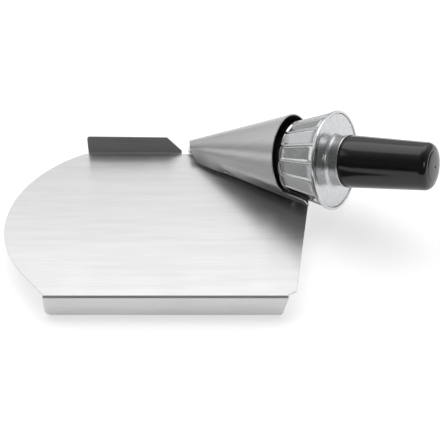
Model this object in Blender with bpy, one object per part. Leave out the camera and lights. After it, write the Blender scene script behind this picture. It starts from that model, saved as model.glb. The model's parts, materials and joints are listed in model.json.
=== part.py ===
"""Waffle cone rolling stand: a bent sheet bed with a forming sleeve, and a loose roller on a grip.

The stand is laid out flat in its own bed frame: X along the bent front lip, Y towards the rear
fence, and the bed's upper face at Z = 0. The whole stand is then tipped as it stands on a table,
on the lip's lower edge, the bend under the fence and the rest tab. The roller is laid out along
its own axis, with its virtual apex at that frame's origin.
"""

from math import acos, asin, atan2, cos, hypot, pi, radians, sin, sqrt, tan

import bmesh
import bpy
from mathutils import Matrix, Vector

MM = 0.001

# Sheet stand
SHEET = 1.2 * MM                # stainless sheet thickness
JOIN_GAP = 0.3 * MM             # gap left between pieces that touch on the real object
BED_DEPTH = 215.6 * MM          # front face of the lip to front face of the fence
ROUND_SHARE = 0.59              # radius of the round left end, as a share of the bed's depth
CENTRE_SHARE = 0.4958           # the round's centre forwards from the fence, as such a share
LIP_CORNER_RUN = 32.7 * MM      # straight run from the lip's left end to the round
RIM_OVERHANG = 32.06 * MM       # the roller's rim past the bed's right edge, along the seam
LIP_DROP = 20.0 * MM            # lip's lower edge below the bed's upper face
LIP_SIDE_SLOPE = 3.8 * MM       # how far the lip's right end leans in over the drop
LIP_LEFT_RADIUS = 5.0 * MM
LIP_RIGHT_RADIUS = 2.6 * MM
LIP_BEND = 2.6 * MM             # outer radius of the front bend
CORNER_CUT = Vector((6.7 * MM, 4.0 * MM))   # clipped front right corner
RIGHT_EDGE_SPLAY = radians(9.15)            # right edge leans outwards from square
FENCE_LENGTH = 93.4 * MM
FENCE_HEIGHT = 19.0 * MM
FENCE_BEND = 1.5 * MM           # inner radius of the rear bend
FENCE_CLIP = 14.3 * MM          # length of the sloped end towards the sleeve
FENCE_STEP = 2.6 * MM           # height left at the far end of that slope
FENCE_FALL = 1.0 * MM           # the top edge falls this much towards the sleeve
FENCE_CORNER = 3.0 * MM
FENCE_START = 3.9 * MM          # from the end of the round to the fence
BEND_STEPS = 5
ROUND_STEP = radians(3.0)

# Roller
HEADING = radians(31.1)         # roller's plan direction, clockwise from the front lip's
ROLLER_ANGLE = radians(14.28)   # half-angle of the roller's cone
APEX_FROM_FENCE_END = Vector((-1.1 * MM, 4.8 * MM))  # virtual apex in plan
ROLLER_CLEARANCE = 0.4 * MM     # roller above the bed and the sleeve's lowest line
TIP_START = 8.4 * MM            # rounded tip, measured from the virtual apex
TIP_ROUND = 2.0 * MM
PANEL_BELT = 36.4 * MM          # length of the belt of sunk panels
PANEL_COUNT = 16
PANEL_STEPS = 5
PANEL_DEPTH = 0.7 * MM          # below the chord between the ribs
PANEL_RAMP = 0.8 * MM
PANEL_SIDE = radians(1.2)       # turn taken by the sloped side of a rib
RIB_SHARE = 0.11                # rib width as a share of one panel's pitch
ROLLER_PHASE = radians(-1.0)   # turn of the ribs at rest
FLARE_LENGTH = 1.0 * MM         # from the panels to the rim
FLARE_OUT = 0.4 * MM            # the rim stands this far out from the cone
FLARE_SHARES = (0.4, 0.75, 0.93)
RIM_WIDTH = 2.6 * MM
RIM_END = 173.0 * MM
RIM_WALL = 2.2 * MM
RIM_EDGE = 0.5 * MM
ROLLER_WALL = 3.0 * MM
HOLLOW_START = 42.0 * MM
CAP_SEAT = 3.0 * MM             # depth of the end cap's seat below the rim's end

# End cap, stud and grip
CAP_INSET = 0.7 * MM
CAP_EDGE = 0.5 * MM
CAP_HUB_RADIUS = 23.0 * MM
CAP_HUB_HEIGHT = 11.0 * MM
CAP_FILLET = 3.0 * MM
HUB_EDGE = 1.2 * MM
STUD_RADIUS = 4.0 * MM
STUD_PAST_NUT = 2.4 * MM
STUD_IN_GRIP = 41.7 * MM
STUD_CHAMFER = 0.8 * MM
NUT_WIDTH = 3.25 * STUD_RADIUS
NUT_HEIGHT = 6.5 * MM
WASHER_RADIUS = STUD_RADIUS + 4.5 * MM
WASHER_THICKNESS = 1.6 * MM
INSERT_RADIUS = STUD_RADIUS + 3.0 * MM
INSERT_LENGTH = 30.0 * MM
INSERT_FLANGE_RADIUS = INSERT_RADIUS + 1.6 * MM
INSERT_FLANGE = 1.6 * MM
GRIP_RADIUS = 23.4 * MM
GRIP_END_RADIUS = 20.1 * MM
GRIP_LENGTH = 79.0 * MM
GRIP_FILLET = 6.5 * MM
GRIP_DOME = 1.2 * MM
GRIP_EDGE = 1.0 * MM
GRIP_BORE_SPARE = 4.0 * MM
GATE_RADIUS = 1.0 * MM
GATE_DEPTH = 1.0 * MM
BORE_CLEARANCE = 0.3 * MM

# Sleeve, measured along its own axis from its own apex
SLEEVE_ANGLE = ROLLER_ANGLE         # its wall runs parallel to the roller's
SLEEVE_APEX_SETBACK = 14.0 * MM     # sleeve's apex behind the roller's, which leaves the gap
SLEEVE_START = 27.5 * MM
MOUTH_BEFORE_PANELS = 5.1 * MM  # the mouth's place, from the start of the roller's panels
SLEEVE_TAIL = 42.0 * MM         # where the free edge starts
TAIL_SLANT = 4.5 * MM           # the narrow end leans in by this much on its near side
TOE_SHARE = 0.2                 # part of the wrap over which the mouth runs out to the seam
TAIL_SLANT_SHARE = 0.72         # that slant starts at this share of the wrap
TONGUE_LENGTH = 24.0 * MM       # the free edge runs on past the mouth by this much
EDGE_OUT_START = 14.1 * MM      # free edge's distance out from the axis plane, at its two ends
EDGE_OUT_END = 28.7 * MM
EDGE_RISE_START = 3.1 * MM      # free edge's height over the bed, at its two ends
EDGE_RISE_END = 6.7 * MM
HEM_WIDTH = 2.6 * MM            # turned-out hem along the free edge
HEM_TILT = radians(25)
HEM_BLEND_START = 62.0 * MM
HEM_BLEND_END = 92.0 * MM
FLANGE_SHARES = (0.30, 0.65, 1.0)   # rows down the flat flange; the tongue's top is the first
ARC_COLUMNS = 46
FLANGE_COLUMNS = len(FLANGE_SHARES) + 1
ROWS = 9
TONGUE_ROWS = 3

# Rest tab
TAB_WIDTH = 26.0 * MM
TAB_FLANGE = 12.0 * MM
TAB_FROM_RIGHT_EDGE = 16.0 * MM
TAB_FROM_SEAM = 15.0 * MM

TURN_STEPS = 64
SMALL_STEPS = 24
SLEEVE_OUTWARDS = 1.0           # which way a Solidify thickens the sleeve's drawn face

# Places along the roller's axis, and sizes that follow from its cone
RIM_START = RIM_END - RIM_WIDTH
RIM_RADIUS = RIM_END * tan(ROLLER_ANGLE) + FLARE_OUT
PANEL_END = RIM_START - FLARE_LENGTH
PANEL_START = PANEL_END - PANEL_BELT
CAP_SEAT_PLACE = RIM_END - CAP_SEAT
CAP_HUB_END = RIM_END + CAP_HUB_HEIGHT
GRIP_START = CAP_HUB_END + JOIN_GAP
NUT_END = CAP_SEAT_PLACE - WASHER_THICKNESS - JOIN_GAP
STUD_START = NUT_END - NUT_HEIGHT - STUD_PAST_NUT
STUD_END = GRIP_START + STUD_IN_GRIP
STUD_BORE = STUD_RADIUS + BORE_CLEARANCE
SLEEVE_END = PANEL_START + SLEEVE_APEX_SETBACK - MOUTH_BEFORE_PANELS
TONGUE_END = SLEEVE_END + TONGUE_LENGTH

# Plan positions in the bed frame
ROUND_CENTRE = Vector((0.0, 0.0))
BED_ROUND = ROUND_SHARE * BED_DEPTH
FENCE_Y = CENTRE_SHARE * BED_DEPTH
FRONT_Y = FENCE_Y - BED_DEPTH
FRONT_EDGE_Y = FRONT_Y + LIP_BEND
LIP_X = -sqrt(BED_ROUND ** 2 + LIP_CORNER_RUN ** 2 - FRONT_EDGE_Y ** 2)
BACK_EDGE_Y = FENCE_Y - FENCE_BEND
ROUND_END_X = -sqrt(BED_ROUND ** 2 - BACK_EDGE_Y ** 2)
FENCE_X = ROUND_END_X + FENCE_START
SEAM_WAY = Vector((cos(HEADING), -sin(HEADING)))
SEAM_NEAR = Vector((-sin(HEADING), -cos(HEADING)))
ROLLER_APEX = Vector((FENCE_X + FENCE_LENGTH, FENCE_Y)) + APEX_FROM_FENCE_END
SLEEVE_APEX = ROLLER_APEX - SEAM_WAY * SLEEVE_APEX_SETBACK
RIGHT_EDGE_WAY = Vector((sin(RIGHT_EDGE_SPLAY), cos(RIGHT_EDGE_SPLAY)))
SEAM_END = ROLLER_APEX + SEAM_WAY * (RIM_START / cos(ROLLER_ANGLE) - RIM_OVERHANG)
RIGHT_EDGE_RUN = (SEAM_END.y - FRONT_EDGE_Y - CORNER_CUT.y) / RIGHT_EDGE_WAY.y
RIGHT_EDGE_FOOT = SEAM_END - RIGHT_EDGE_WAY * RIGHT_EDGE_RUN
LIP_RIGHT_X = RIGHT_EDGE_FOOT.x - CORNER_CUT.x

# The stand's tilt: the lip's lower edge and the rear bend's underside meet the same floor
REAR_BEND_OUTSIDE = FENCE_BEND + SHEET
TILT_SPAN = BACK_EDGE_Y - FRONT_Y - SHEET
TILT_RISE = LIP_DROP + FENCE_BEND
STAND_TILT = (atan2(TILT_RISE, TILT_SPAN)
              - asin(REAR_BEND_OUTSIDE / hypot(TILT_RISE, TILT_SPAN)))
FLOOR_DROP = BACK_EDGE_Y * sin(STAND_TILT) - FENCE_BEND * cos(STAND_TILT) + REAR_BEND_OUTSIDE


def clear_scene():
    for old in list(bpy.data.objects):
        bpy.data.objects.remove(old, do_unlink=True)


def material(name, colour, metallic, roughness):
    made = bpy.data.materials.new(name)
    made.use_nodes = True
    shader = made.node_tree.nodes["Principled BSDF"]
    shader.inputs["Base Color"].default_value = (*colour, 1.0)
    shader.inputs["Metallic"].default_value = metallic
    shader.inputs["Roughness"].default_value = roughness
    return made


def frame_empty(name, parent, matrix):
    made = bpy.data.objects.new(name, None)
    bpy.context.collection.objects.link(made)
    made.parent = parent
    made.matrix_local = matrix
    return made


def solid(name, mesh_data, finish, parent, smooth_angle=30, closed=True):
    """Turn a bmesh into a named object; a closed one gets its faces turned outwards."""
    if closed:
        bmesh.ops.recalc_face_normals(mesh_data, faces=mesh_data.faces)
    mesh = bpy.data.meshes.new(name)
    mesh_data.to_mesh(mesh)
    mesh_data.free()
    mesh.shade_smooth()
    mesh.set_sharp_from_angle(angle=radians(smooth_angle))
    mesh.materials.append(finish)
    made = bpy.data.objects.new(name, mesh)
    bpy.context.collection.objects.link(made)
    made.parent = parent
    return made


def thicken(made, side):
    """Give a bent sheet its thickness, to one side of the face that was drawn."""
    wall = made.modifiers.new("sheet thickness", "SOLIDIFY")
    wall.thickness = SHEET
    wall.offset = side
    wall.use_even_offset = True
    wall.use_quality_normals = True


def arc(centre, radius, start, end, steps):
    return [centre + radius * Vector((cos(start + (end - start) * step / steps),
                                      sin(start + (end - start) * step / steps)))
            for step in range(steps + 1)]


def line_meeting(point, direction, other_point, other_direction):
    """Where two lines in plan cross."""
    across = direction.x * other_direction.y - direction.y * other_direction.x
    offset = other_point - point
    along = (offset.x * other_direction.y - offset.y * other_direction.x) / across
    return point + direction * along


def smooth_share(value, low, high):
    share = min(1.0, max(0.0, (value - low) / (high - low)))
    return share * share * (3.0 - 2.0 * share)


def bed_outline():
    """The flat bed, counter-clockwise from the front bend's left end."""
    corner = Vector((LIP_X, FRONT_EDGE_Y))
    seam_start = SLEEVE_APEX + SEAM_NEAR * JOIN_GAP
    seam_right = line_meeting(seam_start, SEAM_WAY, RIGHT_EDGE_FOOT, RIGHT_EDGE_WAY)
    seam_left = line_meeting(seam_start, SEAM_WAY,
                             Vector((0.0, BACK_EDGE_Y)), Vector((1.0, 0.0)))
    to_corner = corner - ROUND_CENTRE
    tangent = atan2(to_corner.y, to_corner.x) % (2 * pi) - acos(BED_ROUND / to_corner.length)
    top = atan2(BACK_EDGE_Y, ROUND_END_X)
    steps = round((tangent - top) / ROUND_STEP)
    points = [corner, Vector((LIP_RIGHT_X, corner.y)), RIGHT_EDGE_FOOT, seam_right, seam_left]
    points += [Vector((FENCE_X + FENCE_LENGTH, BACK_EDGE_Y)), Vector((FENCE_X, BACK_EDGE_Y))]
    points += arc(ROUND_CENTRE, BED_ROUND, top, tangent, steps)
    return points


def bend_strip(mesh_data, left, right, centre_shift, sweep):
    """Roll a bend about X from an edge of the bed, and return its far edge.

    centre_shift is the bend's centre in Y and Z from the edge; sweep is the bend's signed turn.
    """
    rows = [(left, right)]
    for step in range(1, BEND_STEPS + 1):
        turn = Matrix.Rotation(sweep * step / BEND_STEPS, 3, "X")
        row = []
        for corner in (left, right):
            centre = corner.co + centre_shift
            row.append(mesh_data.verts.new(centre + turn @ (corner.co - centre)))
        mesh_data.faces.new((rows[-1][0], rows[-1][1], row[1], row[0]))
        rows.append(row)
    return rows[-1]


def lip_corners():
    """Lower outline of the front lip, from its left side to its right, as X and drop."""
    left_centre = Vector((LIP_X + LIP_LEFT_RADIUS, -LIP_DROP + LIP_LEFT_RADIUS))
    right_x = LIP_RIGHT_X - LIP_SIDE_SLOPE
    right_centre = Vector((right_x - LIP_RIGHT_RADIUS, -LIP_DROP + LIP_RIGHT_RADIUS))
    lean = atan2(LIP_SIDE_SLOPE, LIP_DROP)
    return (arc(left_centre, LIP_LEFT_RADIUS, pi, 1.5 * pi, 6)
            + arc(right_centre, LIP_RIGHT_RADIUS, 1.5 * pi, 2 * pi - lean, 5))


def fence_corners():
    """Upper outline of the fence, from its right end to its left, as X and height."""
    right = FENCE_X + FENCE_LENGTH
    left_centre = Vector((FENCE_X + FENCE_CORNER, FENCE_HEIGHT - FENCE_CORNER))
    return ([Vector((right, FENCE_STEP)), Vector((right - FENCE_CLIP, FENCE_HEIGHT - FENCE_FALL))]
            + arc(left_centre, FENCE_CORNER, 0.5 * pi, pi, 5))


def make_bed(finish, parent):
    """Bed, front lip and rear fence are one sheet, bent at its two straight edges."""
    mesh_data = bmesh.new()
    flat = [mesh_data.verts.new((point.x, point.y, 0.0)) for point in bed_outline()]
    mesh_data.faces.new(flat)
    lip = bend_strip(mesh_data, flat[1], flat[0], Vector((0.0, 0.0, -LIP_BEND)), radians(90))
    lower = [mesh_data.verts.new((point.x, FRONT_Y, point.y)) for point in lip_corners()]
    mesh_data.faces.new([lip[0], lip[1]] + lower)
    fence = bend_strip(mesh_data, flat[6], flat[5], Vector((0.0, 0.0, FENCE_BEND)), radians(90))
    upper = [mesh_data.verts.new((point.x, FENCE_Y, point.y)) for point in fence_corners()]
    mesh_data.faces.new([fence[0], fence[1]] + upper)
    thicken(solid("forming_bed", mesh_data, finish, parent, closed=False), -1.0)


def free_edge(axial):
    """The sleeve's free edge at one axial place, out from and above the sleeve's lowest line."""
    share = (axial - SLEEVE_TAIL) / (TONGUE_END - SLEEVE_TAIL)
    out = EDGE_OUT_START + (EDGE_OUT_END - EDGE_OUT_START) * share
    rise = EDGE_RISE_START + (EDGE_RISE_END - EDGE_RISE_START) * share
    return Vector((out, rise - axial * tan(SLEEVE_ANGLE)))


def tangent_angle(point, radius):
    """Angle, from the +X side, where a line from point touches the upper part of a circle."""
    return atan2(point.y, point.x) + acos(min(1.0, radius / point.length))


def sleeve_section(axial):
    """Touching angle, hem fold and free edge of the section at one axial place."""
    radius = axial * tan(SLEEVE_ANGLE)
    edge = free_edge(axial)
    touch = tangent_angle(edge, radius)
    up_flange = (Vector((cos(touch), sin(touch))) * radius - edge).normalized()
    inwards = Vector((-cos(HEM_TILT), -sin(HEM_TILT)))
    share = smooth_share(axial, HEM_BLEND_START, HEM_BLEND_END)
    fold = edge + HEM_WIDTH * up_flange.lerp(inwards, share).normalized()
    return tangent_angle(fold, radius), fold, edge


def sleeve_point(column, axial):
    """A point of the inner face: columns go round the far side, down the flange, to the hem."""
    radius = axial * tan(SLEEVE_ANGLE)
    touch, fold, edge = sleeve_section(axial)
    if column <= ARC_COLUMNS:
        start = 1.5 * pi
        angle = start + (touch - start) * column / ARC_COLUMNS
        flat = Vector((cos(angle), sin(angle))) * radius
    else:
        near = Vector((cos(touch), sin(touch))) * radius
        step = column - ARC_COLUMNS - 1
        flat = near.lerp(fold, FLANGE_SHARES[step]) if column < ARC_COLUMNS + FLANGE_COLUMNS else edge
    return Vector((flat.y, flat.x, axial))


def sleeve_ends(column):
    """Where a column starts at the narrow end, and where it stops at the mouth."""
    round_share = column / ARC_COLUMNS
    start = SLEEVE_START + TAIL_SLANT * smooth_share(round_share, TAIL_SLANT_SHARE, 1.0)
    if column > ARC_COLUMNS:
        start += (SLEEVE_TAIL - start) * (column - ARC_COLUMNS) / FLANGE_COLUMNS
    toe_share = 1.0 - smooth_share(round_share, 0.0, TOE_SHARE)
    seam_end = (SEAM_END - SLEEVE_APEX).length * cos(SLEEVE_ANGLE)
    return start, SLEEVE_END + (seam_end - SLEEVE_END) * toe_share


def make_sleeve(finish, parent):
    """One blank rolled into a cone, with its free edge hemmed and run on into a tongue."""
    mesh_data = bmesh.new()
    last = ARC_COLUMNS + FLANGE_COLUMNS
    grid = []
    for column in range(last + 1):
        start, end = sleeve_ends(column)
        places = [start + (end - start) * row / ROWS for row in range(ROWS + 1)]
        if column > ARC_COLUMNS:
            places += [end + (TONGUE_END - end) * row / TONGUE_ROWS
                       for row in range(1, TONGUE_ROWS + 1)]
        grid.append([mesh_data.verts.new(sleeve_point(column, place)) for place in places])
    for column in range(last):
        pair = (grid[column], grid[column + 1])
        for row in range(min(len(pair[0]), len(pair[1])) - 1):
            mesh_data.faces.new((pair[0][row], pair[1][row], pair[1][row + 1], pair[0][row + 1]))
    made = solid("cone_sleeve", mesh_data, finish, parent, closed=False)
    thicken(made, SLEEVE_OUTWARDS)


def tab_place():
    """Rest tab's place in plan, under the bed beside the seam and the right edge."""
    return SEAM_END - SEAM_WAY * TAB_FROM_RIGHT_EDGE + SEAM_NEAR * TAB_FROM_SEAM


def make_rest_tab(finish):
    """A folded strip welded under the bed, with its foot flat on the floor at the origin."""
    place = tab_place()
    bed_face = stand_matrix() @ Vector((place.x, place.y, -SHEET - JOIN_GAP - 0.5 * SHEET))
    foot_front = Vector((0.0, -0.5 * TAB_FLANGE, 0.5 * SHEET))
    foot_back = Vector((0.0, 0.5 * TAB_FLANGE, 0.5 * SHEET))
    fold = Vector((0.0, foot_back.y, bed_face.z - (foot_back.y - bed_face.y) * tan(STAND_TILT)))
    flange_end = fold + TAB_FLANGE * Vector((0.0, cos(STAND_TILT), -sin(STAND_TILT)))
    mesh_data = bmesh.new()
    rows = []
    for side in (-0.5, 0.5):
        across = Vector((side * TAB_WIDTH, 0.0, 0.0))
        rows.append([mesh_data.verts.new(point + across)
                     for point in (foot_front, foot_back, fold, flange_end)])
    for step in range(3):
        mesh_data.faces.new((rows[0][step], rows[1][step], rows[1][step + 1], rows[0][step + 1]))
    thicken(solid("rest_tab", mesh_data, finish, None, closed=False), 0.0)


def skin_rings(mesh_data, rings, closed_loop):
    """Join rings of points into a solid: capped at both ends, or closed into a tube."""
    made = [[mesh_data.verts.new(point) for point in ring] for ring in rings]
    pairs = list(zip(made, made[1:]))
    if closed_loop:
        pairs.append((made[-1], made[0]))
    for lower, upper in pairs:
        if len(lower) == 1 or len(upper) == 1:
            tip, ring = (lower[0], upper) if len(lower) == 1 else (upper[0], lower)
            for step, corner in enumerate(ring):
                mesh_data.faces.new((tip, corner, ring[(step + 1) % len(ring)]))
            continue
        count = len(lower)
        for step in range(count):
            after = (step + 1) % count
            mesh_data.faces.new((lower[step], lower[after], upper[after], upper[step]))
    if not closed_loop:
        for ring in (made[0], made[-1]):
            if len(ring) > 2:
                mesh_data.faces.new(ring)


def round_ring(radius, height, steps):
    """A ring of points, or the single point on the axis where the radius is nothing."""
    if radius == 0.0:
        return [(0.0, 0.0, height)]
    return [(radius * cos(2 * pi * step / steps), radius * sin(2 * pi * step / steps), height)
            for step in range(steps)]


def turned(name, profile, finish, parent, steps=TURN_STEPS, closed_loop=False):
    """A turned piece from its profile of radius and place along the axis."""
    mesh_data = bmesh.new()
    skin_rings(mesh_data, [round_ring(radius, height, steps) for radius, height in profile],
               closed_loop)
    return solid(name, mesh_data, finish, parent)


def roller_radius(place):
    return place * tan(ROLLER_ANGLE)


def section_angles():
    """Ring angles of one roller section, each with its turn from its panel's middle.

    A rib's two edges have no such turn.
    """
    pitch = 2 * pi / PANEL_COUNT
    rib = 0.5 * RIB_SHARE * pitch
    half = 0.5 * pitch - rib - PANEL_SIDE
    angles = []
    for number in range(PANEL_COUNT):
        middle = ROLLER_PHASE + (number + 0.5) * pitch
        angles.append((middle - 0.5 * pitch + rib, None))
        for step in range(PANEL_STEPS + 1):
            turn = half * (2 * step / PANEL_STEPS - 1)
            angles.append((middle + turn, turn))
        angles.append((middle + 0.5 * pitch - rib, None))
    return angles


def panelled_ring(place, radius, depth):
    """Roller section: round, or with flat panels sunk between its ribs."""
    points = []
    for angle, turn in section_angles():
        sunk = depth > 0.0 and turn is not None
        reach = (radius * cos(pi / PANEL_COUNT) - depth) / cos(turn) if sunk else radius
        points.append((reach * cos(angle), reach * sin(angle), place))
    return points


def make_roller(finish, parent):
    """A hollow casting: rounded tip, plain cone, a belt of sunk panels and a flat rim."""
    outside = [[(0.0, 0.0, TIP_START)]]
    for turn in (25, 50, 70):
        outside.append(panelled_ring(TIP_START + TIP_ROUND * (1 - cos(radians(turn))),
                                     TIP_ROUND * sin(radians(turn)), 0.0))
    for place in (TIP_START + TIP_ROUND, 0.5 * PANEL_START, PANEL_START):
        outside.append(panelled_ring(place, max(TIP_ROUND, roller_radius(place)), 0.0))
    for place in (PANEL_START + PANEL_RAMP, PANEL_END - PANEL_RAMP):
        outside.append(panelled_ring(place, roller_radius(place), PANEL_DEPTH))
    outside.append(panelled_ring(PANEL_END, roller_radius(PANEL_END), 0.0))
    flare = RIM_RADIUS - roller_radius(PANEL_END)
    for share in FLARE_SHARES:
        place = PANEL_END + (RIM_START - PANEL_END) * share
        outside.append(panelled_ring(place, roller_radius(PANEL_END) + flare * share ** 3, 0.0))
    rim = ((RIM_RADIUS - RIM_EDGE, RIM_START), (RIM_RADIUS, RIM_START + RIM_EDGE),
           (RIM_RADIUS, RIM_END - RIM_EDGE), (RIM_RADIUS - RIM_EDGE, RIM_END),
           (RIM_RADIUS - RIM_WALL, RIM_END), (RIM_RADIUS - RIM_WALL, CAP_SEAT_PLACE),
           (roller_radius(CAP_SEAT_PLACE) - ROLLER_WALL, CAP_SEAT_PLACE),
           (roller_radius(HOLLOW_START) - ROLLER_WALL, HOLLOW_START))
    outside += [panelled_ring(place, radius, 0.0) for radius, place in rim]
    outside.append([(0.0, 0.0, HOLLOW_START - ROLLER_WALL)])
    mesh_data = bmesh.new()
    skin_rings(mesh_data, outside, False)
    solid("roller_cone", mesh_data, finish, parent, smooth_angle=24)


def make_end_cap(finish, parent):
    """The plate that closes the roller, turned with the hub that the grip stands on."""
    plate = RIM_RADIUS - RIM_WALL - BORE_CLEARANCE
    face = RIM_END - CAP_INSET
    fillet = [(CAP_HUB_RADIUS + CAP_FILLET * (1 - sin(radians(turn))),
               face + CAP_FILLET * (1 - cos(radians(turn)))) for turn in (0, 22, 45, 68, 90)]
    back = CAP_SEAT_PLACE + JOIN_GAP
    profile = [(STUD_BORE, back), (plate, back), (plate, face - CAP_EDGE), (plate - CAP_EDGE, face)]
    profile += fillet
    profile += [(CAP_HUB_RADIUS, CAP_HUB_END - HUB_EDGE), (CAP_HUB_RADIUS - HUB_EDGE, CAP_HUB_END),
                (STUD_BORE, CAP_HUB_END)]
    turned("roller_end_cap", profile, finish, parent, closed_loop=True)


def grip_outer_radius(place):
    share = (place - GRIP_START) / GRIP_LENGTH
    return GRIP_RADIUS + (GRIP_END_RADIUS - GRIP_RADIUS) * share


def make_grip(finish, parent):
    """A moulded grip: slight taper, rounded end, and a blind bore for its insert."""
    start = GRIP_START
    end = start + GRIP_LENGTH
    socket = INSERT_RADIUS + BORE_CLEARANCE
    counterbore = INSERT_FLANGE_RADIUS + BORE_CLEARANCE
    counterbore_end = start + INSERT_FLANGE + JOIN_GAP
    round_place = end - GRIP_DOME - GRIP_FILLET
    profile = [(0.0, STUD_END + GRIP_BORE_SPARE), (socket, STUD_END + GRIP_BORE_SPARE),
               (socket, counterbore_end), (counterbore, counterbore_end), (counterbore, start),
               (GRIP_RADIUS - GRIP_EDGE, start), (GRIP_RADIUS, start + GRIP_EDGE)]
    profile += [(grip_outer_radius(start + GRIP_LENGTH * share), start + GRIP_LENGTH * share)
                for share in (0.3, 0.6)]
    for turn in (0, 18, 36, 54, 72, 90):
        profile.append((grip_outer_radius(round_place) - GRIP_FILLET * (1 - cos(radians(turn))),
                        round_place + GRIP_FILLET * sin(radians(turn))))
    profile += [(0.45 * GRIP_END_RADIUS, end - 0.3 * GRIP_DOME), (GATE_RADIUS, end),
                (GATE_RADIUS, end - GATE_DEPTH), (0.0, end - GATE_DEPTH)]
    turned("handle_grip", profile, finish, parent)


def make_stud(finish, parent):
    """Stud that holds the cap, the hub and the grip's insert in line."""
    profile = [(0.0, STUD_START), (STUD_RADIUS - STUD_CHAMFER, STUD_START),
               (STUD_RADIUS, STUD_START + STUD_CHAMFER), (STUD_RADIUS, STUD_END - STUD_CHAMFER),
               (STUD_RADIUS - STUD_CHAMFER, STUD_END), (0.0, STUD_END)]
    turned("grip_stud", profile, finish, parent, SMALL_STEPS)


def make_washer(finish, parent):
    top = CAP_SEAT_PLACE
    profile = [(STUD_BORE, top - WASHER_THICKNESS), (WASHER_RADIUS, top - WASHER_THICKNESS),
               (WASHER_RADIUS, top), (STUD_BORE, top)]
    turned("stud_washer", profile, finish, parent, SMALL_STEPS, closed_loop=True)


def hex_ring(width, height, steps):
    """Points at even angles round a hexagon, its corners among them."""
    sixth = pi / 3
    points = []
    for step in range(steps):
        angle = 2 * pi * step / steps
        reach = 0.5 * width / cos((angle % sixth) - 0.5 * sixth)
        points.append((reach * cos(angle), reach * sin(angle), height))
    return points


def make_nut(finish, parent):
    bottom = NUT_END - NUT_HEIGHT
    rings = [round_ring(STUD_BORE, bottom, SMALL_STEPS), hex_ring(NUT_WIDTH, bottom, SMALL_STEPS),
             hex_ring(NUT_WIDTH, NUT_END, SMALL_STEPS), round_ring(STUD_BORE, NUT_END, SMALL_STEPS)]
    mesh_data = bmesh.new()
    skin_rings(mesh_data, rings, True)
    solid("stud_nut", mesh_data, finish, parent)


def make_insert(finish, parent):
    """Flanged brass insert pressed into the grip, screwed on the stud."""
    under_flange = GRIP_START + INSERT_FLANGE
    end = GRIP_START + INSERT_LENGTH
    profile = [(STUD_BORE, GRIP_START), (INSERT_FLANGE_RADIUS, GRIP_START),
               (INSERT_FLANGE_RADIUS, under_flange), (INSERT_RADIUS, under_flange),
               (INSERT_RADIUS, end), (STUD_BORE, end)]
    turned("grip_insert", profile, finish, parent, SMALL_STEPS, closed_loop=True)


def stand_matrix():
    """Bed frame to world: tipped onto its floor, with the rest tab's foot at the origin."""
    tip = Matrix.Rotation(-STAND_TILT, 4, "X")
    place = tab_place()
    under = tip @ Vector((place.x, place.y, 0.0))
    return Matrix.Translation((-under.x, -under.y, FLOOR_DROP)) @ tip


def axis_matrix(apex, height, rise):
    """Frame with Z along a cone's axis, X upwards and Y to the near side."""
    along = Vector((SEAM_WAY.x * cos(rise), SEAM_WAY.y * cos(rise), sin(rise)))
    near = Vector((SEAM_NEAR.x, SEAM_NEAR.y, 0.0))
    up = near.cross(along)
    columns = Matrix((up, near, along)).transposed().to_4x4()
    return Matrix.Translation((apex.x, apex.y, height)) @ columns


clear_scene()

BRUSHED = material("brushed stainless", (0.62, 0.62, 0.62), 1.0, 0.32)
CAST = material("tumbled cast aluminium", (0.60, 0.61, 0.62), 1.0, 0.28)
BLACK = material("black moulded grip", (0.012, 0.012, 0.013), 0.0, 0.28)
ZINC = material("zinc-plated steel", (0.52, 0.52, 0.50), 1.0, 0.38)
BRASS = material("brass", (0.70, 0.52, 0.24), 1.0, 0.35)

STAND = frame_empty("stand_frame", None, stand_matrix())
SLEEVE_AXIS = frame_empty("sleeve_axis", STAND, axis_matrix(SLEEVE_APEX, 0.0, SLEEVE_ANGLE))
ROLLER_AXIS = frame_empty("roller_axis", STAND,
                          axis_matrix(ROLLER_APEX, ROLLER_CLEARANCE, ROLLER_ANGLE))

make_bed(BRUSHED, STAND)
make_sleeve(BRUSHED, SLEEVE_AXIS)
make_rest_tab(BRUSHED)
make_roller(CAST, ROLLER_AXIS)
make_end_cap(CAST, ROLLER_AXIS)
make_stud(ZINC, ROLLER_AXIS)
make_washer(ZINC, ROLLER_AXIS)
make_nut(ZINC, ROLLER_AXIS)
make_insert(BRASS, ROLLER_AXIS)
make_grip(BLACK, ROLLER_AXIS)
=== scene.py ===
import json
from math import acos, atan2, cos, pi, radians, sin, tan

import bmesh
import bpy
from mathutils import Matrix, Vector


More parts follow.
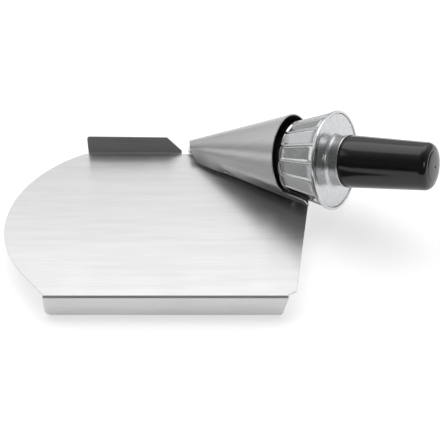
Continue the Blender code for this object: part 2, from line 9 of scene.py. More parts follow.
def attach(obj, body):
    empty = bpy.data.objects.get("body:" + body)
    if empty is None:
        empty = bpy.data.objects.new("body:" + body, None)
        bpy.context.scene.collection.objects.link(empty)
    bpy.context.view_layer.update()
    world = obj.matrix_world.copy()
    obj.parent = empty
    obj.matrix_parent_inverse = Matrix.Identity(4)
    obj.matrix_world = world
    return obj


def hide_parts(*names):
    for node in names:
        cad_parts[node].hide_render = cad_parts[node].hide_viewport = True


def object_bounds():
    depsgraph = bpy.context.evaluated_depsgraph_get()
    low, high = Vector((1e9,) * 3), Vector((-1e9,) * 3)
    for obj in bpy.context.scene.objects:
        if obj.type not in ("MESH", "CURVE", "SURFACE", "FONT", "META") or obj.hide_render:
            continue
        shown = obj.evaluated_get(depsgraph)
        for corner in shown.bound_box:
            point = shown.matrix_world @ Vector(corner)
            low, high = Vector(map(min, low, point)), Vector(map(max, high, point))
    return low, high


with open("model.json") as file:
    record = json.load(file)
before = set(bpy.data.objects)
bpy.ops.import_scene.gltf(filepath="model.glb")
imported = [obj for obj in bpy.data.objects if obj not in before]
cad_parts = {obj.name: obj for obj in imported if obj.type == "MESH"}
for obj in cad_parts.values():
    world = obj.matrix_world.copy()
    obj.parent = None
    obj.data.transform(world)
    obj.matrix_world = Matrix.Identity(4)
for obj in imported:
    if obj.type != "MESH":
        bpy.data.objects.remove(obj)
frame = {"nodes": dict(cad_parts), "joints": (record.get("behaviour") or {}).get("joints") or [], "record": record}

CAD_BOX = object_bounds()

# ---------------------------------------------------------------- Bed
# The bed, its front lip and its rear fence are one stainless sheet, laser cut and bent on a
# press brake. The cut edges are eased by hand, so the frame's solid is kept with its edges
# rounded. The mill's brushed grain runs along the front lip.

MM = 0.001
CUT_EDGE = 0.25 * MM
EDGE_STEPS = 2
SHARP = radians(40)
SAME_PLANE = radians(0.6)
SAME_POINT = 0.002 * MM
STEEL_LIGHT = "#D6D6D6"
STEEL_DARK = "#C7C7C7"
GRAIN_LENGTH = 45 * MM          # how far one line of the brushing runs
GRAIN_WIDTH = 0.7 * MM          # real lines are 0.05 mm apart, too fine to show
SMEAR_LENGTH = 120 * MM         # faint long bands left by the worn parts of the belt
SMEAR_WIDTH = 7 * MM
HANDLING = 38 * MM              # size of the dull patches left by wiping and handling
SMEAR_SHARE = 0.45              # the smears' part of the sheet's tone, beside the fine lines
TONE_SPREAD = (0.32, 0.68)      # where the dark lines start and where the light ones do
STEEL_ROUGHNESS = (0.25, 0.31)  # where it is clean, and where it is handled
LINE_ROUGHNESS = 0.09           # what the brushed lines add to that
LINE_DEPTH = 0.05 * MM
LINE_STRENGTH = 0.1
STRETCH = 0.65                  # how far the lines smear a highlight across themselves
QUARTER_TURN = 0.25


def linear(code):
    """An sRGB hex colour as the linear RGBA that a shader takes."""
    parts = [int(code[place:place + 2], 16) / 255 for place in (1, 3, 5)]
    return (*[part / 12.92 if part <= 0.04045 else ((part + 0.055) / 1.055) ** 2.4
              for part in parts], 1.0)


def add(tree, kind, settings, links=()):
    """Add a node, with settings by input or property name, and links as (input, output)."""
    node = tree.nodes.new(kind)
    for name, value in settings.items():
        if isinstance(name, int) or name in node.inputs:
            node.inputs[name].default_value = value
        else:
            setattr(node, name, value)
    for name, source in links:
        tree.links.new(source, node.inputs[name])
    return node


def new_finish(name):
    """A named material, with its node tree and its shader."""
    finish = bpy.data.materials.new(name)
    finish.use_nodes = True
    return finish, finish.node_tree, finish.node_tree.nodes["Principled BSDF"]


def brushed_sheet():
    """Brushed 304 stainless: long faint lines that smear a reflection across the grain."""
    finish, tree, steel = new_finish("brushed 304 stainless sheet")
    blank = add(tree, "ShaderNodeUVMap", {"uv_map": "blank"})
    lines = add(tree, "ShaderNodeMapping", {"Scale": (1 / GRAIN_LENGTH, 1 / GRAIN_WIDTH, 1)},
                [("Vector", blank.outputs["UV"])])
    grain = add(tree, "ShaderNodeTexNoise", {"Scale": 1.0, "Detail": 2.0, "Roughness": 0.6},
                [("Vector", lines.outputs["Vector"])])
    bands = add(tree, "ShaderNodeMapping", {"Scale": (1 / SMEAR_LENGTH, 1 / SMEAR_WIDTH, 1)},
                [("Vector", blank.outputs["UV"])])
    smear = add(tree, "ShaderNodeTexNoise", {"Scale": 1.0, "Detail": 3.0, "Roughness": 0.5},
                [("Vector", bands.outputs["Vector"])])
    wiped = add(tree, "ShaderNodeTexNoise", {"Scale": 1 / HANDLING, "Detail": 4.0},
                [("Vector", blank.outputs["UV"])])
    tone = add(tree, "ShaderNodeMix", {"data_type": "FLOAT", "Factor": SMEAR_SHARE},
               [("A", grain.outputs["Fac"]), ("B", smear.outputs["Fac"])])
    colour = add(tree, "ShaderNodeValToRGB", {}, [("Fac", tone.outputs["Result"])])
    colour.color_ramp.elements[0].position = TONE_SPREAD[0]
    colour.color_ramp.elements[0].color = linear(STEEL_DARK)
    colour.color_ramp.elements[1].position = TONE_SPREAD[1]
    colour.color_ramp.elements[1].color = linear(STEEL_LIGHT)
    worn = add(tree, "ShaderNodeMapRange", {"From Min": 0.3, "From Max": 0.7,
                                            "To Min": STEEL_ROUGHNESS[0],
                                            "To Max": STEEL_ROUGHNESS[1]},
               [("Value", wiped.outputs["Fac"])])
    rough = add(tree, "ShaderNodeMath", {"operation": "MULTIPLY_ADD", 1: LINE_ROUGHNESS},
                [(0, grain.outputs["Fac"]), (2, worn.outputs["Result"])])
    relief = add(tree, "ShaderNodeBump", {"Strength": LINE_STRENGTH, "Distance": LINE_DEPTH},
                 [("Height", grain.outputs["Fac"])])
    across = add(tree, "ShaderNodeTangent", {"direction_type": "UV_MAP", "uv_map": "blank"})
    steel.inputs["Metallic"].default_value = 1.0
    steel.inputs["Anisotropic"].default_value = STRETCH
    steel.inputs["Anisotropic Rotation"].default_value = QUARTER_TURN
    tree.links.new(colour.outputs["Color"], steel.inputs["Base Color"])
    tree.links.new(rough.outputs["Value"], steel.inputs["Roughness"])
    tree.links.new(relief.outputs["Normal"], steel.inputs["Normal"])
    tree.links.new(across.outputs["Tangent"], steel.inputs["Tangent"])
    return finish


def place_piece(name, mesh_data, finish, body, nodes, smooth=SHARP):
    """Turn mesh data into a piece that rides on a body and stands for the frame's nodes."""
    mesh = bpy.data.meshes.new(name)
    mesh_data.to_mesh(mesh)
    mesh_data.free()
    mesh.shade_smooth()
    mesh.set_sharp_from_angle(angle=smooth)
    mesh.materials.append(finish)
    piece = bpy.data.objects.new(name, mesh)
    bpy.context.collection.objects.link(piece)
    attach(piece, body)
    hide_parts(*nodes)
    return piece


def eased_solid(node):
    """A copy of a node's solid, its triangles joined into whole faces and its edges rounded."""
    mesh_data = bmesh.new()
    mesh_data.from_mesh(frame["nodes"][node].data)
    bmesh.ops.remove_doubles(mesh_data, verts=mesh_data.verts, dist=SAME_POINT)
    bmesh.ops.dissolve_limit(mesh_data, angle_limit=SAME_PLANE, verts=mesh_data.verts,
                             edges=mesh_data.edges)
    mesh_data.normal_update()
    corners = [edge for edge in mesh_data.edges if edge.calc_face_angle(0.0) > SHARP]
    bmesh.ops.bevel(mesh_data, geom=corners, offset=CUT_EDGE, segments=EDGE_STEPS, profile=0.5,
                    affect="EDGES", clamp_overlap=True)
    return mesh_data


def lay_on_blank(mesh_data):
    """Give a bent sheet the places that its points had on the flat, with U along the grain."""
    blank = mesh_data.loops.layers.uv.new("blank")
    for face in mesh_data.faces:
        for corner in face.loops:
            spot = corner.vert.co
            corner[blank].uv = (spot.x, spot.y + spot.z)


def keep_flats_flat(piece):
    """Shade by face area, so that the small rounded edges do not bend the look of the flats."""
    shading = piece.modifiers.new("flat faces stay flat", "WEIGHTED_NORMAL")
    shading.keep_sharp = True
    shading.weight = 100


STEEL = brushed_sheet()
bed_mesh = eased_solid("forming_bed")
lay_on_blank(bed_mesh)
bed = place_piece("formed_bed", bed_mesh, STEEL, "stand", ["forming_bed"])
keep_flats_flat(bed)

# ---------------------------------------------------------------- Forming sleeve
# The sleeve is one blank of the same sheet, rolled into a cone round a mandrel and welded to the
# bed along its lowest line. Its near side is a flat flange that hovers over the bed, its free
# edge is turned out as a hem, and a tongue runs on past the mouth.

SPIN = next(joint for joint in frame["joints"] if joint["name"] == "roller_spin")
AXIS = Vector(SPIN["axis"]).normalized()
UNDERSIDE = next(mount for mount in frame["record"]["mounts"] if mount["name"] == "bed_underside")
BED_UP = -Vector(UNDERSIDE["axis"]).normalized()
RIM_END = 173 * MM              # the roller's rim, from the cone's apex
ROLLER_CLEARANCE = 0.4 * MM
ROLLER_APEX = Vector(SPIN["pos_m"]) - AXIS * RIM_END
SEAM = (AXIS - BED_UP * AXIS.dot(BED_UP)).normalized()
NEAR = SEAM.cross(BED_UP)
SHEET = 1.2 * MM
SLEEVE_ANGLE = radians(14.28)
SLEEVE_SETBACK = 14 * MM        # the sleeve's own apex behind the roller's
SLEEVE_START = 27.5 * MM        # places along the sleeve are measured from its own apex
SLEEVE_END = 141.9 * MM
SEAM_END = 152.9 * MM           # the mouth runs out to here along the seam
SLEEVE_TAIL = 42 * MM           # where the free edge starts
TAIL_SLANT = 4.5 * MM           # the narrow end's rim is cut back by this at the flange
TAIL_SLANT_SHARE = 0.72         # from this share of the way round
TOE_SHARE = 0.2                 # share of the way round where the mouth reaches its plain rim
TONGUE_END = 165.9 * MM
EDGE_OUT = (14.1 * MM, 28.7 * MM)   # free edge out from the axis plane, at its two ends
EDGE_RISE = (3.1 * MM, 6.7 * MM)    # free edge over the bed, at its two ends
HEM_WIDTH = 2.6 * MM
HEM_TILT = radians(25)
HEM_BLEND = (62 * MM, 92 * MM)      # the hem turns out over this stretch
TONGUE_TOP = 0.3                # the tongue's upper edge, as a share of the way down the flange
ROUND_COLUMNS = 110
FLANGE_COLUMNS = 10
HEM_COLUMNS = 2
SLEEVE_ROWS = 36
TONGUE_ROWS = 8
GRAIN_TURN = radians(40)        # how the blank lay on the brushed sheet


def smooth_share(value, low, high):
    """Share of the way from low to high, starting and ending gently."""
    share = min(1.0, max(0.0, (value - low) / (high - low)))
    return share * share * (3.0 - 2.0 * share)


def touching_angle(point, radius):
    """Angle, from the upward side, where a line from a point touches a circle."""
    return atan2(point.y, point.x) + acos(min(1.0, radius / point.length))


def sleeve_section(axial):
    """Touching angle, hem fold and free edge of the section at one place along the sleeve."""
    radius = axial * tan(SLEEVE_ANGLE)
    share = (axial - SLEEVE_TAIL) / (TONGUE_END - SLEEVE_TAIL)
    edge = Vector((EDGE_OUT[0] + (EDGE_OUT[1] - EDGE_OUT[0]) * share,
                   EDGE_RISE[0] + (EDGE_RISE[1] - EDGE_RISE[0]) * share - radius))
    touch = touching_angle(edge, radius)
    up_flange = (Vector((cos(touch), sin(touch))) * radius - edge).normalized()
    inwards = Vector((-cos(HEM_TILT), -sin(HEM_TILT)))
    turned_out = smooth_share(axial, *HEM_BLEND)
    fold = edge + HEM_WIDTH * up_flange.lerp(inwards, turned_out).normalized()
    return touching_angle(fold, radius), fold, edge


def sleeve_point(column, axial):
    """A point of the inner face: round the far side, down the flange, and out along the hem."""
    touch, fold, edge = sleeve_section(axial)
    radius = axial * tan(SLEEVE_ANGLE)
    if column <= ROUND_COLUMNS:
        angle = 1.5 * pi + (touch - 1.5 * pi) * column / ROUND_COLUMNS
        return Vector((cos(angle), sin(angle))) * radius
    if column <= ROUND_COLUMNS + FLANGE_COLUMNS:
        near = Vector((cos(touch), sin(touch))) * radius
        return near.lerp(fold, (column - ROUND_COLUMNS) / FLANGE_COLUMNS)
    return fold.lerp(edge, (column - ROUND_COLUMNS - FLANGE_COLUMNS) / HEM_COLUMNS)


def length_round(column, axial):
    """Length of sheet from the seam to a column, along the section's outline."""
    length = abs(sleeve_section(axial)[0] - 1.5 * pi) * axial * tan(SLEEVE_ANGLE)
    if column <= ROUND_COLUMNS:
        return length * column / ROUND_COLUMNS
    return length + sum((sleeve_point(step + 1, axial) - sleeve_point(step, axial)).length
                        for step in range(ROUND_COLUMNS, column))


def sleeve_rows(column):
    """Places of a column's points along the sleeve, from the narrow end to the mouth or tongue."""
    wrap = column / ROUND_COLUMNS
    last = ROUND_COLUMNS + FLANGE_COLUMNS + HEM_COLUMNS
    start = SLEEVE_START + TAIL_SLANT * smooth_share(wrap, TAIL_SLANT_SHARE, 1.0)
    if column > ROUND_COLUMNS:
        start += (SLEEVE_TAIL - start) * (column - ROUND_COLUMNS) / (last - ROUND_COLUMNS)
    end = SLEEVE_END + (SEAM_END - SLEEVE_END) * (1.0 - smooth_share(wrap, 0.0, TOE_SHARE))
    rows = [start + (end - start) * row / SLEEVE_ROWS for row in range(SLEEVE_ROWS + 1)]
    if column >= ROUND_COLUMNS + TONGUE_TOP * FLANGE_COLUMNS:
        rows += [end + (TONGUE_END - end) * row / TONGUE_ROWS
                 for row in range(1, TONGUE_ROWS + 1)]
    return rows


def make_sleeve():
    """The sleeve's inner face, each point with its place on the flat blank."""
    along = SEAM * cos(SLEEVE_ANGLE) + BED_UP * sin(SLEEVE_ANGLE)
    upwards = NEAR.cross(along)
    apex = ROLLER_APEX - BED_UP * ROLLER_CLEARANCE - SEAM * SLEEVE_SETBACK
    mesh_data = bmesh.new()
    blank = mesh_data.loops.layers.uv.new("blank")
    on_blank = {}
    grid = []
    for column in range(ROUND_COLUMNS + FLANGE_COLUMNS + HEM_COLUMNS + 1):
        verts = []
        for place in sleeve_rows(column):
            flat = sleeve_point(column, place)
            vert = mesh_data.verts.new(apex + upwards * flat.y + NEAR * flat.x + along * place)
            slant = place / cos(SLEEVE_ANGLE)
            turn = length_round(column, place) / slant - GRAIN_TURN
            on_blank[vert] = (slant * cos(turn), slant * sin(turn))
            verts.append(vert)
        grid.append(verts)
    for left, right in zip(grid, grid[1:]):
        for row in range(min(len(left), len(right)) - 1):
            face = mesh_data.faces.new((left[row], right[row], right[row + 1], left[row + 1]))
            for corner in face.loops:
                corner[blank].uv = on_blank[corner.vert]
    return mesh_data


sleeve = place_piece("forming_sleeve", make_sleeve(), STEEL, "stand",
                     ["cone_sleeve"])
wall = sleeve.modifiers.new("sheet thickness", "SOLIDIFY")
wall.thickness = SHEET
wall.offset = 1.0
wall.use_even_offset = True
wall.use_quality_normals = True
easing = sleeve.modifiers.new("eased edges", "BEVEL")
easing.width = CUT_EDGE
easing.segments = EDGE_STEPS
easing.limit_method = "ANGLE"
easing.angle_limit = SHARP
keep_flats_flat(sleeve)

# ---------------------------------------------------------------- Rest tab
# A short strip of the same sheet, folded once and spot welded under the bed beside the sleeve's
# mouth, where it stops the stand from rocking.

tab_mesh = eased_solid("rest_tab")
lay_on_blank(tab_mesh)
rest_tab = place_piece("folded_rest_tab", tab_mesh, STEEL, "stand",
                       ["rest_tab"])
keep_flats_flat(rest_tab)

# ---------------------------------------------------------------- Cone roller
# The roller is a hollow aluminium die casting, polished so that the waffle slides off it. A
# belt of sixteen sunk panels, with a narrow rib between each two, runs round its wide end. A
# plain rim closes the belt.

ROLLER_ANGLE = AXIS.angle(SEAM)
TIP_START = 8.4 * MM
TIP_ROUND = 2 * MM
TIP_TURNS = (0.5, 12, 24, 36, 48, 60, 72)   # rings on the rounded tip, in degrees from its end
PANEL_START = 133 * MM
PANEL_END = 169.4 * MM
PANEL_COUNT = 16
PANEL_DEPTH = 0.7 * MM
PANEL_RUN_IN = 2 * MM           # slope at the narrow end of a panel
PANEL_RAMP = 0.8 * MM           # and at the end next to the rim
PANEL_SIDE = radians(1.2)       # turn taken by the sloped side of a rib
RIB_SHARE = 0.11                # rib width as a share of one panel's pitch
ROLLER_PHASE = radians(-1)     # turn of the ribs at rest
RIM_START = 170.4 * MM
RIM_STEP = 0.4 * MM             # how far the rim stands out past the cone
RIM_RADIUS = RIM_END * tan(ROLLER_ANGLE) + RIM_STEP
RIM_WALL = 2.2 * MM
RIM_EDGE = 0.5 * MM
INNER_EDGE = 0.3 * MM
INNERMOST = 0.1 * MM            # smallest ring, where a face closes on the axis
CAP_SEAT_PLACE = RIM_END - 3 * MM
ROLLER_WALL = 3 * MM
HOLLOW_START = 42 * MM
ALUMINIUM = "#D2D3D4"
ALUMINIUM_DULL = "#BBBCBE"
CAST_WAVE = 9 * MM              # soft waviness left under the polish by the die
CAST_GRAIN = 0.9 * MM           # pits of 0.2 mm, drawn coarser so that they show
WAVE_DEPTH = 0.4 * MM
PIT_DEPTH = 0.06 * MM


def frame_on_roller():
    """Matrix with Z along the roller's axis from its apex, X upwards and Y to the near side."""
    columns = Matrix((NEAR.cross(AXIS), NEAR, AXIS)).transposed().to_4x4()
    return Matrix.Translation(ROLLER_APEX) @ columns


def die_casting(name, pale, dull, roughness, wave, pits):
    """Die-cast aluminium: bright, with wavy reflections and fine pits, as rough as it is left."""
    finish, tree, metal = new_finish(name)
    spot = add(tree, "ShaderNodeTexCoord", {})
    waves = add(tree, "ShaderNodeTexNoise", {"Scale": 1 / CAST_WAVE, "Detail": 2.0},
                [("Vector", spot.outputs["Object"])])
    grains = add(tree, "ShaderNodeTexNoise", {"Scale": 1 / CAST_GRAIN, "Detail": 3.0},
                 [("Vector", spot.outputs["Object"])])
    colour = add(tree, "ShaderNodeValToRGB", {}, [("Fac", grains.outputs["Fac"])])
    colour.color_ramp.elements[0].position = 0.30
    colour.color_ramp.elements[0].color = linear(dull)
    colour.color_ramp.elements[1].position = 0.55
    colour.color_ramp.elements[1].color = linear(pale)
    rough = add(tree, "ShaderNodeMapRange", {"From Min": 0.3, "From Max": 0.7,
                                             "To Min": roughness - 0.04,
                                             "To Max": roughness + 0.06},
                [("Value", waves.outputs["Fac"])])
    swell = add(tree, "ShaderNodeBump", {"Strength": wave, "Distance": WAVE_DEPTH},
                [("Height", waves.outputs["Fac"])])
    relief = add(tree, "ShaderNodeBump", {"Strength": pits, "Distance": PIT_DEPTH},
                 [("Height", grains.outputs["Fac"]), ("Normal", swell.outputs["Normal"])])
    metal.inputs["Metallic"].default_value = 1.0
    tree.links.new(colour.outputs["Color"], metal.inputs["Base Color"])
    tree.links.new(rough.outputs["Result"], metal.inputs["Roughness"])
    tree.links.new(relief.outputs["Normal"], metal.inputs["Normal"])
    return finish


def panel_turns():
    """Turns from a panel's middle to the next rib's middle, close together on the rib's side."""
    half = pi / PANEL_COUNT
    rib = RIB_SHARE * half
    flat = [(half - rib - PANEL_SIDE) * step / 4 for step in range(5)]
    side = [half - rib - PANEL_SIDE + PANEL_SIDE * step / 5 for step in range(1, 6)]
    turns = flat + side
    return [-turn for turn in reversed(turns[1:])] + turns


def roller_radius(place, turn):
    """Radius of the plain cone, or of a flat panel sunk between two ribs."""
    half = pi / PANEL_COUNT
    rib = RIB_SHARE * half
    cone = place * tan(ROLLER_ANGLE)
    ends = (smooth_share(place, PANEL_START, PANEL_START + PANEL_RUN_IN)
            * (1.0 - smooth_share(place, PANEL_END - PANEL_RAMP, PANEL_END)))
    sides = 1.0 - smooth_share(abs(turn), half - rib - PANEL_SIDE, half - rib)
    flat = (cone * cos(half) - PANEL_DEPTH) / cos(turn)
    return cone + (flat - cone) * ends * sides


def corner_arc(radius, place, reach, start, end, steps):
    """Points of radius and place round a small corner whose centre is at radius and place."""
    return [(radius + reach * cos(radians(start + (end - start) * step / steps)),
             place + reach * sin(radians(start + (end - start) * step / steps)))
            for step in range(steps + 1)]


def make_roller():
    """Rings from the tip, along the cone, over the rim and back inside to the hollow's end.

    A ring without a radius lies on the cone or in the panels.
    """
    turns = [(ROLLER_PHASE + (number + 0.5) * 2 * pi / PANEL_COUNT + turn, turn)
             for number in range(PANEL_COUNT) for turn in panel_turns()]
    cone_places = [TIP_START + TIP_ROUND + step * (PANEL_START - TIP_START - TIP_ROUND) / 12
                   for step in range(12)]
    cone_places += [PANEL_START + PANEL_RUN_IN * step / 8 for step in range(9)]
    cone_places += [PANEL_START + (PANEL_END - PANEL_START) * step / 6 for step in range(1, 6)]
    cone_places += [PANEL_END - PANEL_RAMP * (1 - step / 5) for step in range(6)]
    rings = [(TIP_ROUND * sin(radians(turn)), TIP_START + TIP_ROUND * (1 - cos(radians(turn))))
             for turn in TIP_TURNS]
    rings += [(None, place) for place in cone_places]
    flare_start = PANEL_END * tan(ROLLER_ANGLE)
    flare = [(flare_start + (RIM_RADIUS - flare_start) * (step / 8) ** 3,
              PANEL_END + (RIM_START - PANEL_END) * step / 8) for step in range(1, 8)]
    rim = (corner_arc(RIM_RADIUS - RIM_EDGE, RIM_START + RIM_EDGE, RIM_EDGE, -70, 0, 4)
           + corner_arc(RIM_RADIUS - RIM_EDGE, RIM_END - RIM_EDGE, RIM_EDGE, 0, 90, 5)
           + corner_arc(RIM_RADIUS - RIM_WALL + INNER_EDGE, RIM_END - INNER_EDGE, INNER_EDGE,
                        90, 180, 3)
           + [(RIM_RADIUS - RIM_WALL, CAP_SEAT_PLACE),
              (CAP_SEAT_PLACE * tan(ROLLER_ANGLE) - ROLLER_WALL, CAP_SEAT_PLACE),
              (HOLLOW_START * tan(ROLLER_ANGLE) - ROLLER_WALL, HOLLOW_START),
              (INNERMOST, HOLLOW_START - ROLLER_WALL)])
    rings += flare + rim
    place_on_axis = frame_on_roller()
    mesh_data = bmesh.new()
    made = []
    for radius, place in rings:
        ring = []
        for angle, turn in turns:
            reach = max(TIP_ROUND, roller_radius(place, turn)) if radius is None else radius
            ring.append(mesh_data.verts.new(
                place_on_axis @ Vector((reach * cos(angle), reach * sin(angle), place))))
        made.append(ring)
    for lower, upper in zip(made, made[1:]):
        for step in range(len(lower)):
            after = (step + 1) % len(lower)
            mesh_data.faces.new((lower[step], lower[after], upper[after], upper[step]))
    mesh_data.faces.new(made[0])
    mesh_data.faces.new(made[-1])
    bmesh.ops.recalc_face_normals(mesh_data, faces=mesh_data.faces)
    return mesh_data


CAST = die_casting("polished die-cast aluminium", ALUMINIUM, ALUMINIUM_DULL,
                   roughness=0.15, wave=0.22, pits=0.1)
place_piece("ribbed_cone_roller", make_roller(), CAST, "roller",
            ["roller_cone"])

# ---------------------------------------------------------------- End cap
# A second casting closes the roller's wide end. It sits in a seat inside the rim and carries
# the hub that the grip is drawn up against. Its face is left as it came from the tumbler.

JOIN_GAP = 0.3 * MM             # gap left between pieces that touch on the real object
CAP_FACE = RIM_END - 0.7 * MM
CAP_BACK = CAP_SEAT_PLACE + JOIN_GAP
CAP_EDGE = 0.5 * MM
CAP_RADIUS = RIM_RADIUS - RIM_WALL - JOIN_GAP
HUB_END = 184 * MM
HUB_RADIUS = 23 * MM
HUB_NECK = 22.2 * MM
HUB_FILLET = 3.2 * MM
HUB_EDGE = 1 * MM
STUD_BORE = 4.3 * MM
CAP_TURNS = 144
CAP_ALUMINIUM = "#D0D1D2"
CAP_DULL = "#ABACAE"


def turned(profile, steps):
    """A turned solid on the roller's axis, from a closed profile of radius and place."""
    place_on_axis = frame_on_roller()
    mesh_data = bmesh.new()
    made = [[mesh_data.verts.new(place_on_axis @ Vector((radius * cos(2 * pi * step / steps),
                                                         radius * sin(2 * pi * step / steps),
                                                         place)))
             for step in range(steps)] for radius, place in profile]
    for lower, upper in zip(made, made[1:] + made[:1]):
        for step in range(steps):
            after = (step + 1) % steps
            mesh_data.faces.new((lower[step], lower[after], upper[after], upper[step]))
    bmesh.ops.recalc_face_normals(mesh_data, faces=mesh_data.faces)
    return mesh_data


neck_start = HUB_NECK + HUB_FILLET
cap_profile = [(STUD_BORE, CAP_BACK), (CAP_RADIUS, CAP_BACK)]
cap_profile += corner_arc(CAP_RADIUS - CAP_EDGE, CAP_FACE - CAP_EDGE, CAP_EDGE, 0, 90, 4)
cap_profile += [(CAP_RADIUS + (neck_start - CAP_RADIUS) * step / 4, CAP_FACE)
                for step in range(1, 4)]
cap_profile += corner_arc(neck_start, CAP_FACE + HUB_FILLET, HUB_FILLET, 270, 180, 12)
cap_profile += corner_arc(HUB_RADIUS - HUB_EDGE, HUB_END - HUB_EDGE, HUB_EDGE, -20, 90, 6)
cap_profile += [(STUD_BORE, HUB_END)]
TUMBLED = die_casting("tumbled aluminium cap", CAP_ALUMINIUM, CAP_DULL,
                      roughness=0.24, wave=0.35, pits=0.28)
place_piece("cap_and_hub", turned(cap_profile, CAP_TURNS), TUMBLED, "roller",
            ["roller_end_cap"])

# ---------------------------------------------------------------- Stud, washer, nut and insert
# A zinc-plated stud runs through the cap and the hub into a brass insert in the grip. A washer
# and a nut inside the roller pull the three together. The frame's own solids are kept.

ZINC_PALE = "#C3C4BE"
ZINC_DULL = "#A6A8A4"
BRASS_BRIGHT = "#D8B46A"
BRASS_DULL = "#B8924C"
SPANGLE = 1.6 * MM              # size of the plating's faint blotches
SHEEN_SPREAD = 0.08


def plated(name, pale, dull, roughness):
    """A small plated or turned metal part: a faint blotchy sheen over an even base."""
    finish, tree, metal = new_finish(name)
    spot = add(tree, "ShaderNodeTexCoord", {})
    blotches = add(tree, "ShaderNodeTexNoise", {"Scale": 1 / SPANGLE, "Detail": 3.0},
                   [("Vector", spot.outputs["Object"])])
    colour = add(tree, "ShaderNodeValToRGB", {}, [("Fac", blotches.outputs["Fac"])])
    colour.color_ramp.elements[0].position = 0.35
    colour.color_ramp.elements[0].color = linear(dull)
    colour.color_ramp.elements[1].position = 0.65
    colour.color_ramp.elements[1].color = linear(pale)
    rough = add(tree, "ShaderNodeMapRange", {"To Min": roughness - SHEEN_SPREAD,
                                             "To Max": roughness + SHEEN_SPREAD},
                [("Value", blotches.outputs["Fac"])])
    metal.inputs["Metallic"].default_value = 1.0
    tree.links.new(colour.outputs["Color"], metal.inputs["Base Color"])
    tree.links.new(rough.outputs["Result"], metal.inputs["Roughness"])
    return finish


ZINC = plated("bright zinc plate on steel", ZINC_PALE, ZINC_DULL, roughness=0.36)
BRASS = plated("turned brass", BRASS_BRIGHT, BRASS_DULL, roughness=0.3)
for node, finish in (("grip_stud", ZINC), ("stud_washer", ZINC), ("stud_nut", ZINC),
                     ("grip_insert", BRASS)):
    frame["nodes"][node].data.materials.clear()
    frame["nodes"][node].data.materials.append(finish)

# ---------------------------------------------------------------- Grip
# The grip is moulded in black phenolic resin, which comes out of its polished mould with a
# glossy skin. It tapers a little towards its rounded end, where the moulding left a small dimple.

GRIP_START = HUB_END + JOIN_GAP
GRIP_LENGTH = 79 * MM
GRIP_RADIUS = 23.4 * MM
GRIP_END_RADIUS = 20.1 * MM
GRIP_FILLET = 6.5 * MM
GRIP_DOME = 1.2 * MM
GRIP_EDGE = 1 * MM
SOCKET_RADIUS = 7.3 * MM
SOCKET_END = GRIP_START + 45.7 * MM
COUNTERBORE = (8.9 * MM, 1.9 * MM)      # radius and depth of the recess for the insert's flange
SPRUE_RADIUS = 1.1 * MM
SPRUE_DEPTH = 0.9 * MM
GRIP_TURNS = 144
RESIN = "#060606"
RESIN_WORN = "#0C0C0C"
RESIN_FLOW = 16 * MM            # faint flow marks in the skin
RESIN_SKIN = 0.8 * MM           # fine orange peel, drawn coarser so that it shows
PEEL_DEPTH = 0.05 * MM
PEEL_STRENGTH = 0.12
RESIN_ROUGHNESS = (0.11, 0.19)  # where it is glossy, and where it is worn


def moulded_resin():
    """Black phenolic moulding: a glossy skin with a faint orange peel and duller worn patches."""
    finish, tree, resin = new_finish("black phenolic moulding")
    spot = add(tree, "ShaderNodeTexCoord", {})
    flow = add(tree, "ShaderNodeTexNoise", {"Scale": 1 / RESIN_FLOW, "Detail": 4.0},
               [("Vector", spot.outputs["Object"])])
    skin = add(tree, "ShaderNodeTexNoise", {"Scale": 1 / RESIN_SKIN, "Detail": 2.0},
               [("Vector", spot.outputs["Object"])])
    colour = add(tree, "ShaderNodeValToRGB", {}, [("Fac", flow.outputs["Fac"])])
    colour.color_ramp.elements[0].position = 0.35
    colour.color_ramp.elements[0].color = linear(RESIN)
    colour.color_ramp.elements[1].position = 0.75
    colour.color_ramp.elements[1].color = linear(RESIN_WORN)
    rough = add(tree, "ShaderNodeMapRange", {"From Min": 0.3, "From Max": 0.7,
                                             "To Min": RESIN_ROUGHNESS[0],
                                             "To Max": RESIN_ROUGHNESS[1]},
                [("Value", flow.outputs["Fac"])])
    peel = add(tree, "ShaderNodeBump", {"Strength": PEEL_STRENGTH, "Distance": PEEL_DEPTH},
               [("Height", skin.outputs["Fac"])])
    resin.inputs["IOR"].default_value = 1.5
    tree.links.new(colour.outputs["Color"], resin.inputs["Base Color"])
    tree.links.new(rough.outputs["Result"], resin.inputs["Roughness"])
    tree.links.new(peel.outputs["Normal"], resin.inputs["Normal"])
    return finish


def grip_radius(place):
    """Outer radius of the tapered grip at a place along the roller's axis."""
    return GRIP_RADIUS + (GRIP_END_RADIUS - GRIP_RADIUS) * (place - GRIP_START) / GRIP_LENGTH


grip_end = GRIP_START + GRIP_LENGTH
shoulder = grip_end - GRIP_DOME - GRIP_FILLET
grip_profile = [(INNERMOST, SOCKET_END), (SOCKET_RADIUS, SOCKET_END),
                (SOCKET_RADIUS, GRIP_START + COUNTERBORE[1]),
                (COUNTERBORE[0], GRIP_START + COUNTERBORE[1]), (COUNTERBORE[0], GRIP_START)]
grip_profile += corner_arc(GRIP_RADIUS - GRIP_EDGE, GRIP_START + GRIP_EDGE, GRIP_EDGE, -90, 0, 5)
grip_profile += [(grip_radius(GRIP_START + (shoulder - GRIP_START) * step / 6),
                  GRIP_START + (shoulder - GRIP_START) * step / 6) for step in range(1, 6)]
grip_profile += corner_arc(grip_radius(shoulder) - GRIP_FILLET, shoulder, GRIP_FILLET, 0, 90, 12)
crown = grip_radius(shoulder) - GRIP_FILLET
grip_profile += [(crown * cos(radians(turn)), grip_end - GRIP_DOME * (1 - sin(radians(turn))))
                 for turn in (15, 30, 45, 60, 75)]
grip_profile += corner_arc(SPRUE_RADIUS + INNER_EDGE, grip_end - INNER_EDGE, INNER_EDGE,
                           90, 180, 3)
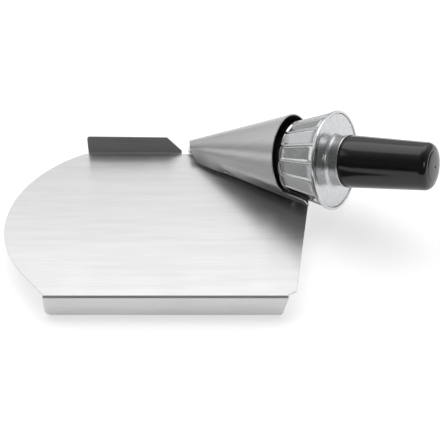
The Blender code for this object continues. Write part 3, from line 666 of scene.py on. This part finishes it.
grip_profile += [(SPRUE_RADIUS, grip_end - SPRUE_DEPTH), (INNERMOST, grip_end - SPRUE_DEPTH)]
place_piece("moulded_grip", turned(grip_profile, GRIP_TURNS), moulded_resin(), "roller",
            ["handle_grip"])

# ---------------------------------------------------------------- Studio
# A white paper floor, soft boxes above, at the left and at the front right, and paper all round.
# The paper is bright behind the object, dark in front of it and shaded low down, and this
# contrast is what the bare metal shows.

FLOOR_SIDE = 12.0
FLOOR_GAP = 0.05 * MM
FLOOR_WHITE = "#F4F4F4"
FLOOR_GLOW = 0.55               # the paper is lit from below too, which thins the shadows
PAPER_GRAIN = 3 * MM
PAPER_BEHIND = 1.12
PAPER_IN_FRONT = 0.22
PAPER_TURNS = (-0.38, 0.65)     # it brightens from front to back between these
PAPER_FOOT = 0.42               # share of that light left low down, where the paper is in shade
PAPER_SHADE_TOP = 0.42          # how high that shade reaches
PAPER_SEEN = 1.0                # what the camera sees past the floor's far edge


def paper_floor():
    """Matt white background paper, with the faintest grain."""
    finish, tree, paper = new_finish("matt white background paper")
    spot = add(tree, "ShaderNodeTexCoord", {})
    grain = add(tree, "ShaderNodeTexNoise", {"Scale": 1 / PAPER_GRAIN, "Detail": 2.0},
                [("Vector", spot.outputs["Object"])])
    relief = add(tree, "ShaderNodeBump", {"Strength": 0.05, "Distance": 0.05 * MM},
                 [("Height", grain.outputs["Fac"])])
    paper.inputs["Base Color"].default_value = linear(FLOOR_WHITE)
    paper.inputs["Roughness"].default_value = 0.95
    paper.inputs["Specular IOR Level"].default_value = 0.1
    paper.inputs["Emission Color"].default_value = linear(FLOOR_WHITE)
    paper.inputs["Emission Strength"].default_value = FLOOR_GLOW
    tree.links.new(relief.outputs["Normal"], paper.inputs["Normal"])
    return finish


def soft_box(name, place, target, size, power):
    """A rectangular soft box, aimed at a point."""
    lamp = bpy.data.lights.new(name, "AREA")
    lamp.shape = "RECTANGLE"
    lamp.size = size[0]
    lamp.size_y = size[1]
    lamp.energy = power
    made = bpy.data.objects.new(name, lamp)
    made.location = place
    made.rotation_euler = (Vector(target) - Vector(place)).to_track_quat("-Z", "Y").to_euler()
    bpy.context.collection.objects.link(made)


floor_mesh = bmesh.new()
bmesh.ops.create_grid(floor_mesh, x_segments=1, y_segments=1, size=0.5 * FLOOR_SIDE)
floor_data = bpy.data.meshes.new("paper floor")
floor_mesh.to_mesh(floor_data)
floor_mesh.free()
floor_data.materials.append(paper_floor())
floor = bpy.data.objects.new("paper_floor", floor_data)
floor.location.z = CAD_BOX[0][2] - FLOOR_GAP
bpy.context.collection.objects.link(floor)

world = bpy.data.worlds.new("paper all round")
bpy.context.scene.world = world
world.use_nodes = True
sky = world.node_tree
sky.nodes.clear()
way = add(sky, "ShaderNodeTexCoord", {})
parts = add(sky, "ShaderNodeSeparateXYZ", {}, [("Vector", way.outputs["Generated"])])
behind = add(sky, "ShaderNodeMapRange", {"interpolation_type": "SMOOTHSTEP",
                                         "From Min": PAPER_TURNS[0],
                                         "From Max": PAPER_TURNS[1],
                                         "To Min": PAPER_IN_FRONT, "To Max": PAPER_BEHIND},
             [("Value", parts.outputs["Y"])])
high = add(sky, "ShaderNodeMapRange", {"interpolation_type": "SMOOTHSTEP", "From Min": 0.0,
                                       "From Max": PAPER_SHADE_TOP, "To Min": PAPER_FOOT,
                                       "To Max": 1.0},
           [("Value", parts.outputs["Z"])])
glow = add(sky, "ShaderNodeMath", {"operation": "MULTIPLY"},
           [(0, behind.outputs["Result"]), (1, high.outputs["Result"])])
light = add(sky, "ShaderNodeBackground", {}, [("Strength", glow.outputs["Value"])])
seen = add(sky, "ShaderNodeBackground", {"Color": (1, 1, 1, 1), "Strength": PAPER_SEEN})
ray = add(sky, "ShaderNodeLightPath", {})
either = add(sky, "ShaderNodeMixShader", {}, [("Fac", ray.outputs["Is Camera Ray"]),
                                              (1, light.outputs["Background"]),
                                              (2, seen.outputs["Background"])])
add(sky, "ShaderNodeOutputWorld", {}, [("Surface", either.outputs["Shader"])])

soft_box("overhead soft box", (-0.1, 0.9, 1.4), (-0.06, 0.0, 0.0), (2.2, 1.2), 10)
soft_box("left soft box", (-1.5, 0.3, 0.9), (0.0, 0.0, 0.03), (0.9, 0.9), 1.5)
soft_box("front right soft box", (0.95, -0.75, 0.7), (0.08, -0.02, 0.06), (0.2, 0.3), 0.8)

LENS = 69.5
ELEVATION = radians(41.43)
LOOK_AT = Vector((-0.0625, -0.0489, 0.02))
DISTANCE = 0.7448               # from the camera to that point
eye = bpy.data.cameras.new("studio camera")
eye.lens = LENS
eye.sensor_width = 36
camera = bpy.data.objects.new("studio camera", eye)
camera.location = LOOK_AT + DISTANCE * Vector((0, -cos(ELEVATION), sin(ELEVATION)))
camera.rotation_euler = (0.5 * pi - ELEVATION, 0, 0)
bpy.context.collection.objects.link(camera)
bpy.context.scene.camera = camera
bpy.context.scene.view_settings.view_transform = "Standard"
